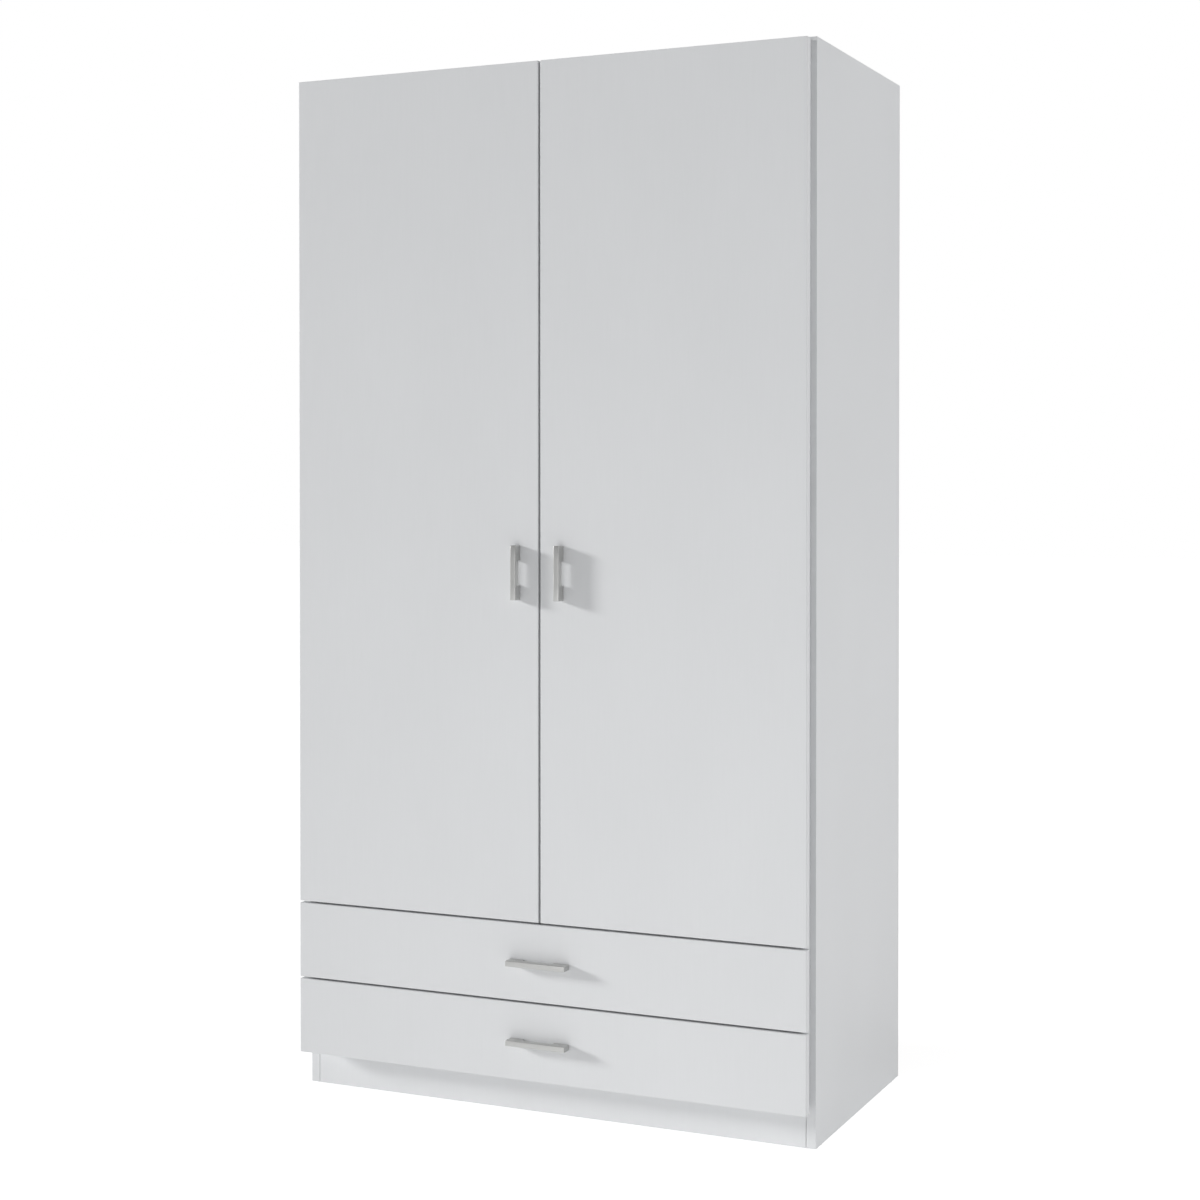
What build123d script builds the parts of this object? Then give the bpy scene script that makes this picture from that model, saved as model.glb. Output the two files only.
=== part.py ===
from build123d import *
import os

os.makedirs("parts", exist_ok=True)

# A free-standing wardrobe with two doors over two full-width drawers.
# Millimetres. X runs across the front, -Y is the door side, +Z is up.
# The origin is on the floor, at the centre of the overall width and depth.

# ---- overall sizes -------------------------------------------------------
overall_height = 2000.0
carcass_width = 1060.0
side_depth = 520.0

# ---- boards --------------------------------------------------------------
board = 18.0                 # carcass boards
front_thickness = 18.0       # doors and drawer fronts
drawer_board = 12.0          # drawer sides and backs
sheet = 3.0                  # hardboard back and drawer bottoms
edge_ease = 0.5              # rounding of the carcass edge banding
plinth_play = 0.8            # open joint between the plinth and each side
front_ease = 1.0             # rounding of the doors' and fronts' edge banding

# ---- front frame, which carries the fronts ahead of the side panels ------
frame_depth = 26.0
frame_recess = 12.0          # the stiles stand in from the side's outer face
frame_bottom = 76.0
frame_top_drop = 5.0         # the frame ends this far below the top
top_rail_height = 45.0
front_clearance = 3.0        # air between the frame and the backs of the fronts

# ---- doors and drawer fronts ---------------------------------------------
fronts_bottom = 74.0
lower_front_height = 146.0
upper_front_height = 146.5
fronts_top_drop = 8.0        # the doors end this far below the top
front_gap = 4.0              # gap between one front and the next, upwards
door_gap = 4.5               # gap between the two doors
front_inset = 2.5            # fronts end this far inside the side's outer face

# ---- bar handles ---------------------------------------------------------
handle_projection = 22.0
handle_width = 11.0
finger_depth = 8.0
handle_ease = 1.2
door_handle_length = 103.0
door_handle_post = 28.0
door_handle_height = 1033.0
door_handle_centre = 45.0
drawer_handle_length = 123.0
drawer_handle_post = 30.0
handle_screw_r = 2.0
handle_screw_grip = 9.0
screw_head_r = 3.8
screw_head_height = 2.2

# ---- concealed door hinges -----------------------------------------------
hinge_end_distance = 100.0
pivot_from_edge = 7.0
cup_r = 17.5
cup_from_edge = 3.0
cup_depth = 13.0
flange_thickness = 1.2
ear_length = 26.0
ear_width = 12.0
ear_offset = 9.5
pin_r = 1.25
pin_half_length = 7.5
pin_play = 0.05
knuckle_r = 2.8
knuckle_half_width = 5.0
hinge_play = 0.35            # air round the knuckle inside its cup
arm_thickness = 2.0
arm_standoff = 4.0           # from the side panel to the middle of the arm's neck
arm_width = 14.0
plate_setback = 37.0         # plate screws behind the front of the frame
plate_height = 50.0
plate_length = 34.0
plate_screw_spacing = 32.0
plate_screw_r = 2.5
plate_screw_depth = 10.0

# ---- drawers -------------------------------------------------------------
runner_space = 12.5          # between a drawer side and the carcass side
drawer_depth = 450.0
drawer_side_height = 100.0
drawer_side_rise = 32.0      # drawer side above the lower edge of its front
bottom_rise = 9.0            # drawer bottom above the drawer side's lower edge
groove_depth = 5.0
groove_play = 0.5

# ---- roller runners ------------------------------------------------------
steel = 1.2
roller_r = 10.0
roller_width = 7.5
axle_r = 2.0
axle_play = 0.05
roller_air = 0.3
runner_front_setback = 8.0
runner_length = 470.0
runner_lip = 9.0
front_roller_setback = 16.0
rear_roller_inset = 14.0
runner_web_height = 28.0

# ---- back, shelf and hanging rail ----------------------------------------
back_setback = 12.0
back_groove = 7.0
strip_width = 24.0
strip_lip = 2.0
floor_height = 364.0         # underside of the board between drawers and doors
shelf_height = 1690.0
shelf_front_setback = 30.0
shelf_play = 1.0
shelf_pin_r = 2.5
shelf_pin_hole = 8.0
shelf_pin_reach = 9.0
shelf_pin_from_edge = 45.0
rail_height = 1636.0
rail_width = 15.0
rail_depth = 30.0
rail_wall = 1.2
rail_bracket_thickness = 5.0
rail_bracket_wall = 2.5
rail_bracket_floor = 2.0

# ---- fittings ------------------------------------------------------------
cam_r = 7.5
cam_cover = 3.5              # the cam's bore goes this far past the bolt's axis
cam_from_end = 24.0
cam_from_edge = 60.0
bolt_r = 3.0
bolt_bore_r = 4.0
bolt_grip = 10.0
bolt_overrun = 3.0
dowel_r = 2.0
dowel_in_frame = 12.0
dowel_in_board = 18.0
dowel_from_end = 150.0
dowel_count = 4
glide_height = 3.0
glide_r = 7.0
glide_nail_r = 1.0
glide_nail_length = 14.0
glide_from_edge = 40.0
buffer_r = 3.0
buffer_air = 0.4
buffer_from_centre = 18.0
wall_bracket_spacing = 800.0
wall_bracket_width = 30.0
wall_bracket_leg = 35.0
wall_bracket_thickness = 2.0
wall_hole_r = 3.0
wall_hole_drop = 18.0
rear_rail_setback = 30.0

# ---- places worked out from the sizes above ------------------------------
half_width = carcass_width / 2
inner_x = half_width - board
overall_depth = handle_projection + front_thickness + front_clearance + frame_depth + side_depth
handle_y = -overall_depth / 2
face_y = handle_y + handle_projection
front_back_y = face_y + front_thickness
frame_y = front_back_y + front_clearance
side_y = frame_y + frame_depth
rear_y = overall_depth / 2
back_y = rear_y - back_setback - sheet
frame_top = overall_height - frame_top_drop
top_panel_z = overall_height - board
floor_top = floor_height + board
lower_front_top = fronts_bottom + lower_front_height
upper_front_bottom = lower_front_top + front_gap
upper_front_top = upper_front_bottom + upper_front_height
door_bottom = upper_front_top + front_gap
door_top = overall_height - fronts_top_drop
front_edge_x = half_width - front_inset
pivot_x = front_edge_x - pivot_from_edge
pivot_y = front_back_y - front_thickness / 2
cup_x = front_edge_x - cup_from_edge - cup_r
arm_x = inner_x - arm_standoff
drawer_outer_x = inner_x - runner_space
drawer_inner_x = drawer_outer_x - drawer_board
drawer_rear_y = front_back_y + drawer_depth
hinge_heights = (
    door_bottom + hinge_end_distance,
    (door_bottom + door_top) / 2,
    door_top - hinge_end_distance,
)
drawers = {"lower": fronts_bottom, "upper": upper_front_bottom}
front_heights = {"lower": lower_front_height, "upper": upper_front_height}
sides = {"left": -1, "right": 1}


def span_box(x_span, y_span, z_span, mode=Mode.ADD):
    """Adds or cuts a block that fills the three spans."""
    low = (min(x_span), min(y_span), min(z_span))
    high = (max(x_span), max(y_span), max(z_span))
    middle = tuple((a + b) / 2 for a, b in zip(low, high))
    size = tuple(b - a for a, b in zip(low, high))
    with Locations(middle):
        Box(*size, mode=mode)


def rod(start, direction, length, radius, mode=Mode.ADD):
    """Adds or cuts a round rod from a point, along a direction."""
    with Locations(Plane(origin=start, z_dir=direction)):
        Cylinder(radius, length, align=(Align.CENTER, Align.CENTER, Align.MIN), mode=mode)


def write(piece, name):
    """Labels a finished piece and writes it to its own file."""
    piece.part.label = name
    export_step(piece.part, f"parts/{name}.step")


# Fittings that several boards share: where they stand along the depth.
cam_rows = (side_y + cam_from_edge, back_y - cam_from_edge)
cam_depth = board / 2 + cam_cover
cam_boards = {"top": top_panel_z, "floor": floor_height, "base": frame_bottom}
shelf_front = side_y + shelf_front_setback
shelf_rear = back_y - shelf_play
pin_rows = (shelf_front + shelf_pin_from_edge, shelf_rear - shelf_pin_from_edge)
pin_z = shelf_height - shelf_pin_r
glide_rows = (side_y + glide_from_edge, rear_y - glide_from_edge)
plate_y = frame_y + plate_setback
plate_screw_offsets = (-plate_screw_spacing / 2, plate_screw_spacing / 2)
stile_x = (inner_x + half_width - frame_recess) / 2
stile_height = frame_top - frame_bottom
dowel_step = (stile_height - 2 * dowel_from_end) / (dowel_count - 1)
dowel_heights = [frame_bottom + dowel_from_end + i * dowel_step for i in range(dowel_count)]
rail_dowel_z = (top_panel_z + frame_top) / 2
rail_dowel_xs = (-inner_x / 2, 0.0, inner_x / 2)
rail_y = (side_y + back_y) / 2
rear_rail_y = back_y - rear_rail_setback

# ---- side panels ---------------------------------------------------------
for side_name, sign in sides.items():
    with BuildPart() as side_panel:
        span_box((sign * inner_x, sign * half_width), (side_y, rear_y), (glide_height, overall_height))
        fillet(side_panel.edges(), edge_ease)
        # groove for the back
        span_box(
            (sign * inner_x, sign * (inner_x + back_groove)),
            (back_y, back_y + sheet),
            (frame_bottom, overall_height - board + back_groove),
            mode=Mode.SUBTRACT,
        )
        # threaded bores of the cam bolts
        for z_low in cam_boards.values():
            for y in cam_rows:
                rod((sign * inner_x, y, z_low + board / 2), (sign, 0, 0), bolt_grip, bolt_r, Mode.SUBTRACT)
        # shelf pins
        for y in pin_rows:
            rod((sign * inner_x, y, pin_z), (sign, 0, 0), shelf_pin_hole, shelf_pin_r, Mode.SUBTRACT)
        # hinge plate screws
        for z in hinge_heights:
            for dz in plate_screw_offsets:
                start = (sign * inner_x, plate_y, z + dz)
                rod(start, (sign, 0, 0), plate_screw_depth, plate_screw_r, Mode.SUBTRACT)
        # dowels of the front frame
        for z in dowel_heights:
            rod((sign * stile_x, side_y, z), (0, 1, 0), dowel_in_board, dowel_r, Mode.SUBTRACT)
        # nails of the floor glides
        for y in glide_rows:
            start = (sign * (half_width - board / 2), y, glide_height)
            rod(start, (0, 0, 1), glide_nail_length, glide_nail_r, Mode.SUBTRACT)
    write(side_panel, f"side_panel_{side_name}")

# ---- boards between the sides --------------------------------------------
board_spans = {
    "top_panel": (side_y, rear_y, cam_boards["top"]),
    "cabinet_floor": (frame_y, back_y, cam_boards["floor"]),
    "base_panel": (frame_y, back_y, cam_boards["base"]),
}
for board_name, (y_front, y_rear, z_low) in board_spans.items():
    with BuildPart() as level_board:
        span_box((-inner_x, inner_x), (y_front, y_rear), (z_low, z_low + board))
        fillet(level_board.edges().filter_by(Axis.X), edge_ease)
        for sign in sides.values():
            for y in cam_rows:
                cam_place = (sign * (inner_x - cam_from_end), y, z_low)
                rod(cam_place, (0, 0, 1), cam_depth, cam_r, Mode.SUBTRACT)
                bore_start = (sign * inner_x, y, z_low + board / 2)
                rod(bore_start, (-sign, 0, 0), cam_from_end, bolt_bore_r, Mode.SUBTRACT)
        if board_name == "top_panel":
            span_box(
                (-inner_x, inner_x),
                (back_y, back_y + sheet),
                (z_low, z_low + back_groove),
                mode=Mode.SUBTRACT,
            )
            for x in rail_dowel_xs:
                rod((x, side_y, rail_dowel_z), (0, 1, 0), dowel_in_board, dowel_r, Mode.SUBTRACT)
    write(level_board, board_name)

plinth_x = inner_x - plinth_play
with BuildPart() as plinth_front:
    span_box((-plinth_x, plinth_x), (side_y, side_y + board), (glide_height, frame_bottom))
    fillet(plinth_front.edges(), edge_ease)
write(plinth_front, "plinth_front")

with BuildPart() as rear_base_rail:
    span_box((-plinth_x, plinth_x), (rear_rail_y - board, rear_rail_y), (glide_height, frame_bottom))
    fillet(rear_base_rail.edges(), edge_ease)
write(rear_base_rail, "rear_base_rail")

# ---- front frame ---------------------------------------------------------
for side_name, sign in sides.items():
    with BuildPart() as frame_stile:
        span_box(
            (sign * inner_x, sign * (half_width - frame_recess)),
            (frame_y, side_y),
            (frame_bottom, frame_top),
        )
        fillet(frame_stile.edges(), edge_ease)
        for z in dowel_heights:
            rod((sign * stile_x, side_y, z), (0, -1, 0), dowel_in_frame, dowel_r, Mode.SUBTRACT)
    write(frame_stile, f"frame_stile_{side_name}")

with BuildPart() as frame_top_rail:
    span_box((-inner_x, inner_x), (frame_y, side_y), (frame_top - top_rail_height, frame_top))
    fillet(frame_top_rail.edges().filter_by(Axis.X), edge_ease)
    for x in rail_dowel_xs:
        rod((x, side_y, rail_dowel_z), (0, -1, 0), dowel_in_frame, dowel_r, Mode.SUBTRACT)
write(frame_top_rail, "frame_top_rail")

with BuildPart() as frame_dowels:
    for sign in sides.values():
        for z in dowel_heights:
            start = (sign * stile_x, side_y - dowel_in_frame, z)
            rod(start, (0, 1, 0), dowel_in_frame + dowel_in_board, dowel_r)
    for x in rail_dowel_xs:
        start = (x, side_y - dowel_in_frame, rail_dowel_z)
        rod(start, (0, 1, 0), dowel_in_frame + dowel_in_board, dowel_r)
write(frame_dowels, "frame_dowels")

# ---- two-piece back with its joining strip -------------------------------
back_bottom = frame_bottom
back_top = top_panel_z + back_groove - groove_play
web = strip_lip / 2
wall_hole_z = top_panel_z - wall_hole_drop
for side_name, sign in sides.items():
    with BuildPart() as back_panel:
        span_box(
            (sign * web, sign * (inner_x + back_groove - groove_play)),
            (back_y, back_y + sheet),
            (back_bottom, back_top),
        )
        hole_start = (sign * wall_bracket_spacing / 2, back_y, wall_hole_z)
        rod(hole_start, (0, 1, 0), sheet, wall_hole_r, Mode.SUBTRACT)
    write(back_panel, f"back_panel_{side_name}")

with BuildPart() as back_joining_strip:
    strip_z = (floor_top, top_panel_z)
    span_box((-web, web), (back_y, back_y + sheet), strip_z)
    span_box((-strip_width / 2, strip_width / 2), (back_y - strip_lip, back_y), strip_z)
    rear_lip = (back_y + sheet, back_y + sheet + strip_lip)
    span_box((-strip_width / 2, strip_width / 2), rear_lip, strip_z)
write(back_joining_strip, "back_joining_strip")

# ---- hat shelf and hanging rail ------------------------------------------
with BuildPart() as hat_shelf:
    shelf_x = inner_x - shelf_play
    span_box((-shelf_x, shelf_x), (shelf_front, shelf_rear - strip_lip), (shelf_height, shelf_height + board))
    fillet(hat_shelf.edges(), edge_ease)
write(hat_shelf, "hat_shelf")

with BuildPart() as shelf_pins:
    for sign in sides.values():
        for y in pin_rows:
            start = (sign * (inner_x + shelf_pin_hole), y, pin_z)
            rod(start, (-sign, 0, 0), shelf_pin_hole + shelf_pin_reach, shelf_pin_r)
write(shelf_pins, "shelf_pins")

rail_end_x = inner_x - rail_bracket_floor
with BuildPart() as hanging_rail:
    with BuildSketch(Plane(origin=(-rail_end_x, rail_y, rail_height), z_dir=(1, 0, 0))):
        SlotOverall(rail_depth, rail_width, rotation=90)
        SlotOverall(
            rail_depth - 2 * rail_wall, rail_width - 2 * rail_wall, rotation=90, mode=Mode.SUBTRACT
        )
    extrude(amount=2 * rail_end_x)
write(hanging_rail, "hanging_rail")

with BuildPart() as rail_brackets:
    for sign in sides.values():
        with BuildSketch(Plane(origin=(sign * inner_x, rail_y, rail_height), z_dir=(-sign, 0, 0))):
            grow = 2 * rail_bracket_wall
            SlotOverall(rail_depth + grow, rail_width + grow, rotation=90)
        extrude(amount=rail_bracket_floor + rail_bracket_thickness)
        with BuildSketch(Plane(origin=(sign * rail_end_x, rail_y, rail_height), z_dir=(-sign, 0, 0))):
            SlotOverall(rail_depth, rail_width, rotation=90)
        extrude(amount=rail_bracket_thickness, mode=Mode.SUBTRACT)
write(rail_brackets, "rail_brackets")

# ---- cam fittings --------------------------------------------------------
bolt_inner_x = inner_x - cam_from_end - bolt_overrun
with BuildPart() as cam_discs:
    for z_low in cam_boards.values():
        for sign in sides.values():
            for y in cam_rows:
                rod((sign * (inner_x - cam_from_end), y, z_low), (0, 0, 1), cam_depth, cam_r)
                bolt_way = inner_x - bolt_inner_x
                bolt_start = (sign * inner_x, y, z_low + board / 2)
                rod(bolt_start, (-sign, 0, 0), bolt_way, bolt_r, Mode.SUBTRACT)
write(cam_discs, "cam_discs")

with BuildPart() as cam_bolts:
    for z_low in cam_boards.values():
        for sign in sides.values():
            for y in cam_rows:
                start = (sign * (inner_x + bolt_grip), y, z_low + board / 2)
                rod(start, (-sign, 0, 0), inner_x + bolt_grip - bolt_inner_x, bolt_r)
write(cam_bolts, "cam_bolts")

# ---- floor glides --------------------------------------------------------
glide_places = [(sign * (half_width - board / 2), y) for sign in sides.values() for y in glide_rows]
with BuildPart() as floor_glides:
    for x, y in glide_places:
        rod((x, y, 0), (0, 0, 1), glide_height, glide_r)
    chamfer(floor_glides.edges().group_by(Axis.Z)[0], edge_ease)
    for x, y in glide_places:
        rod((x, y, glide_height), (0, 0, 1), glide_nail_length, glide_nail_r)
write(floor_glides, "floor_glides")

# ---- wall brackets, under the top and through the back -------------------
with BuildPart() as wall_brackets:
    for sign in sides.values():
        x_mid = sign * wall_bracket_spacing / 2
        x_span = (x_mid - wall_bracket_width / 2, x_mid + wall_bracket_width / 2)
        upright_y = (back_y - wall_bracket_thickness, back_y)
        span_box(x_span, upright_y, (top_panel_z - wall_bracket_leg, top_panel_z))
        level_z = (top_panel_z - wall_bracket_thickness, top_panel_z)
        span_box(x_span, (back_y - wall_bracket_leg, back_y), level_z)
        hole_start = (x_mid, back_y - wall_bracket_thickness, wall_hole_z)
        rod(hole_start, (0, 1, 0), wall_bracket_thickness, wall_hole_r, Mode.SUBTRACT)
write(wall_brackets, "wall_brackets")

# ---- rubber buffers on the frame, one behind each free door corner -------
buffer_length = front_clearance - buffer_air
buffer_heights = ((door_bottom + floor_top) / 2, frame_top - top_rail_height / 2)
with BuildPart() as door_buffers:
    for sign in sides.values():
        for z in buffer_heights:
            rod((sign * buffer_from_centre, frame_y, z), (0, -1, 0), buffer_length, buffer_r)
write(door_buffers, "door_buffers")

# ---- fixed halves of the hinges ------------------------------------------
with BuildPart() as hinge_plates:
    for sign in sides.values():
        for z in hinge_heights:
            y_span = (plate_y - plate_length / 2, plate_y + plate_length / 2)
            x_span = (sign * inner_x, sign * (arm_x + arm_thickness / 2))
            span_box(x_span, y_span, (z - arm_width / 2, z + arm_width / 2))
            wing_y = (plate_y - arm_width / 2, plate_y + arm_width / 2)
            wing_z = (z - plate_height / 2, z + plate_height / 2)
            span_box((sign * inner_x, sign * (inner_x - steel)), wing_y, wing_z)
            for dz in plate_screw_offsets:
                start = (sign * inner_x, plate_y, z + dz)
                rod(start, (-sign, 0, 0), steel, plate_screw_r, Mode.SUBTRACT)
write(hinge_plates, "hinge_plates")

with BuildPart() as hinge_plate_screws:
    for sign in sides.values():
        for z in hinge_heights:
            for dz in plate_screw_offsets:
                start = (sign * (inner_x + plate_screw_depth), plate_y, z + dz)
                rod(start, (-sign, 0, 0), plate_screw_depth + steel, plate_screw_r)
                head_start = (sign * (inner_x - steel), plate_y, z + dz)
                rod(head_start, (-sign, 0, 0), screw_head_height, screw_head_r)
write(hinge_plate_screws, "hinge_plate_screws")

# The arm is one pressed strip: a knuckle round the pin, a short run inboard
# inside the cup, and a neck that turns back to lie on its plate.
arm_rear_y = plate_y + plate_length / 2
with BuildPart() as hinge_arms:
    for sign in sides.values():
        for z in hinge_heights:
            neck_x = (sign * (arm_x - arm_thickness / 2), sign * (arm_x + arm_thickness / 2))
            knuckle_z = (z - knuckle_half_width, z + knuckle_half_width)
            knuckle_start = (sign * pivot_x, pivot_y, z - knuckle_half_width)
            rod(knuckle_start, (0, 0, 1), 2 * knuckle_half_width, knuckle_r)
            web_y = (pivot_y - arm_thickness / 2, pivot_y + arm_thickness / 2)
            span_box((sign * pivot_x, neck_x[0]), web_y, knuckle_z)
            span_box(neck_x, (web_y[0], arm_rear_y), knuckle_z)
            wide_y = (frame_y, arm_rear_y)
            span_box(neck_x, wide_y, (z - arm_width / 2, z + arm_width / 2))
            rod(knuckle_start, (0, 0, 1), 2 * knuckle_half_width, pin_r + pin_play, Mode.SUBTRACT)
write(hinge_arms, "hinge_arms")

# ---- doors with the moving halves of their hinges ------------------------
pocket_depth = front_thickness / 2 + knuckle_r + hinge_play
for side_name, sign in sides.items():
    handle_x = sign * door_handle_centre
    handle_half = door_handle_length / 2
    door_screw_heights = [
        door_handle_height + end * (handle_half - door_handle_post / 2) for end in (-1, 1)
    ]
    ear_x = sign * (cup_x - ear_offset)

    with BuildPart() as door:
        span_box((sign * door_gap / 2, sign * front_edge_x), (face_y, front_back_y), (door_bottom, door_top))
        fillet(door.edges(), front_ease)
        for z in hinge_heights:
            rod((sign * cup_x, front_back_y, z), (0, -1, 0), cup_depth, cup_r, Mode.SUBTRACT)
            for end in (-1, 1):
                start = (ear_x, front_back_y, z + end * (ear_length - ear_width / 2))
                rod(start, (0, -1, 0), plate_screw_depth, handle_screw_r, Mode.SUBTRACT)
        for z in door_screw_heights:
            rod((handle_x, front_back_y, z), (0, -1, 0), front_thickness, handle_screw_r, Mode.SUBTRACT)
    write(door, f"door_{side_name}")

    with BuildPart() as hinge_cups:
        for z in hinge_heights:
            rod((sign * cup_x, front_back_y, z), (0, -1, 0), cup_depth, cup_r)
            rod((sign * cup_x, front_back_y, z), (0, 1, 0), flange_thickness, cup_r)
            ear_xs = (ear_x - ear_width / 2, ear_x + ear_width / 2)
            ear_y = (front_back_y, front_back_y + flange_thickness)
            span_box(ear_xs, ear_y, (z - ear_length, z + ear_length))
            inner_end = sign * (arm_x - arm_thickness / 2 - hinge_play)
            outer_end = sign * (pivot_x + knuckle_r + hinge_play)
            half_z = knuckle_half_width + hinge_play
            pocket_y = (front_back_y - pocket_depth, front_back_y + flange_thickness)
            span_box((inner_end, outer_end), pocket_y, (z - half_z, z + half_z), Mode.SUBTRACT)
            pin_start = (sign * pivot_x, pivot_y, z - pin_half_length)
            rod(pin_start, (0, 0, 1), 2 * pin_half_length, pin_r, Mode.SUBTRACT)
            for end in (-1, 1):
                start = (ear_x, front_back_y, z + end * (ear_length - ear_width / 2))
                rod(start, (0, 1, 0), flange_thickness, handle_screw_r, Mode.SUBTRACT)
    write(hinge_cups, f"{side_name}_hinge_cups")

    with BuildPart() as hinge_pins:
        for z in hinge_heights:
            rod((sign * pivot_x, pivot_y, z - pin_half_length), (0, 0, 1), 2 * pin_half_length, pin_r)
    write(hinge_pins, f"{side_name}_hinge_pins")

    with BuildPart() as cup_screws:
        for z in hinge_heights:
            for end in (-1, 1):
                z_screw = z + end * (ear_length - ear_width / 2)
                start = (ear_x, front_back_y - plate_screw_depth, z_screw)
                rod(start, (0, 1, 0), plate_screw_depth + flange_thickness, handle_screw_r)
                head_start = (ear_x, front_back_y + flange_thickness, z_screw)
                rod(head_start, (0, 1, 0), flange_thickness, screw_head_r)
    write(cup_screws, f"{side_name}_hinge_cup_screws")

    with BuildPart() as door_handle:
        span_box(
            (handle_x - handle_width / 2, handle_x + handle_width / 2),
            (handle_y, face_y),
            (door_handle_height - handle_half, door_handle_height + handle_half),
        )
        fillet(door_handle.edges().group_by(Axis.Y)[0], handle_ease)
        opening_half = handle_half - door_handle_post
        span_box(
            (handle_x - handle_width, handle_x + handle_width),
            (face_y - finger_depth, face_y),
            (door_handle_height - opening_half, door_handle_height + opening_half),
            mode=Mode.SUBTRACT,
        )
        for z in door_screw_heights:
            rod((handle_x, face_y, z), (0, -1, 0), handle_screw_grip, handle_screw_r, Mode.SUBTRACT)
    write(door_handle, f"{side_name}_door_handle")

    with BuildPart() as handle_screws:
        for z in door_screw_heights:
            start = (handle_x, face_y - handle_screw_grip, z)
            rod(start, (0, 1, 0), handle_screw_grip + front_thickness, handle_screw_r)
            rod((handle_x, front_back_y, z), (0, 1, 0), screw_head_height, screw_head_r)
    write(handle_screws, f"{side_name}_door_handle_screws")

# ---- drawers -------------------------------------------------------------
handle_half = drawer_handle_length / 2
drawer_screw_xs = [end * (handle_half - drawer_handle_post / 2) for end in (-1, 1)]
for drawer_name, z_front in drawers.items():
    z_top = z_front + front_heights[drawer_name]
    z_side = z_front + drawer_side_rise
    side_span = (z_side, z_side + drawer_side_height)
    bottom_span = (z_side + bottom_rise, z_side + bottom_rise + sheet)
    z_handle = (z_front + z_top) / 2
    groove_x = drawer_inner_x + groove_depth

    with BuildPart() as drawer_front:
        span_box((-front_edge_x, front_edge_x), (face_y, front_back_y), (z_front, z_top))
        fillet(drawer_front.edges(), front_ease)
        span_box(
            (-drawer_inner_x, drawer_inner_x),
            (front_back_y - groove_depth, front_back_y),
            bottom_span,
            mode=Mode.SUBTRACT,
        )
        for x in drawer_screw_xs:
            rod((x, front_back_y, z_handle), (0, -1, 0), front_thickness, handle_screw_r, Mode.SUBTRACT)
    write(drawer_front, f"{drawer_name}_drawer_front")

    for side_name, sign in sides.items():
        with BuildPart() as drawer_side:
            span_box((sign * drawer_inner_x, sign * drawer_outer_x), (front_back_y, drawer_rear_y), side_span)
            fillet(drawer_side.edges().filter_by(Axis.Y).group_by(Axis.Z)[-1], edge_ease)
            span_box(
                (sign * drawer_inner_x, sign * groove_x),
                (front_back_y, drawer_rear_y),
                bottom_span,
                mode=Mode.SUBTRACT,
            )
        write(drawer_side, f"{drawer_name}_drawer_side_{side_name}")

    back_front_y = drawer_rear_y - drawer_board
    with BuildPart() as drawer_back:
        span_box((-drawer_inner_x, drawer_inner_x), (back_front_y, drawer_rear_y), side_span)
        fillet(drawer_back.edges().filter_by(Axis.X).group_by(Axis.Z)[-1], edge_ease)
        span_box(
            (-drawer_inner_x, drawer_inner_x),
            (back_front_y, back_front_y + groove_depth),
            bottom_span,
            mode=Mode.SUBTRACT,
        )
    write(drawer_back, f"{drawer_name}_drawer_back")

    with BuildPart() as drawer_bottom:
        bottom_x = groove_x - groove_play
        bottom_rear = back_front_y + groove_depth - groove_play
        span_box((-bottom_x, bottom_x), (front_back_y, bottom_rear), bottom_span)
        tongue_y = (front_back_y - groove_depth + groove_play, front_back_y)
        tongue_x = drawer_inner_x - groove_play
        span_box((-tongue_x, tongue_x), tongue_y, bottom_span)
    write(drawer_bottom, f"{drawer_name}_drawer_bottom")

    with BuildPart() as drawer_handle:
        z_span = (z_handle - handle_width / 2, z_handle + handle_width / 2)
        span_box((-handle_half, handle_half), (handle_y, face_y), z_span)
        fillet(drawer_handle.edges().group_by(Axis.Y)[0], handle_ease)
        opening_half = handle_half - drawer_handle_post
        span_box(
            (-opening_half, opening_half),
            (face_y - finger_depth, face_y),
            (z_handle - handle_width, z_handle + handle_width),
            mode=Mode.SUBTRACT,
        )
        for x in drawer_screw_xs:
            rod((x, face_y, z_handle), (0, -1, 0), handle_screw_grip, handle_screw_r, Mode.SUBTRACT)
    write(drawer_handle, f"{drawer_name}_drawer_handle")

    with BuildPart() as handle_screws:
        for x in drawer_screw_xs:
            start = (x, face_y - handle_screw_grip, z_handle)
            rod(start, (0, 1, 0), handle_screw_grip + front_thickness, handle_screw_r)
            rod((x, front_back_y, z_handle), (0, 1, 0), screw_head_height, screw_head_r)
    write(handle_screws, f"{drawer_name}_drawer_handle_screws")

# ---- roller runners ------------------------------------------------------
# The drawer's profile rides with its outer flange on a roller at the front
# of the cabinet's channel; its own rear roller runs inside that channel.
runner_web_x = drawer_outer_x + steel
channel_web_x = inner_x - steel
roller_x = (runner_web_x + channel_web_x) / 2 - roller_width / 2
runner_front_y = frame_y + runner_front_setback
runner_rear_y = runner_front_y + runner_length
front_roller_y = runner_front_y + front_roller_setback
rear_roller_y = drawer_rear_y - rear_roller_inset
flange_rise = runner_web_height - steel
roller_rise = flange_rise - roller_air - roller_r
channel_rise = roller_rise - roller_r - roller_air

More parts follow.
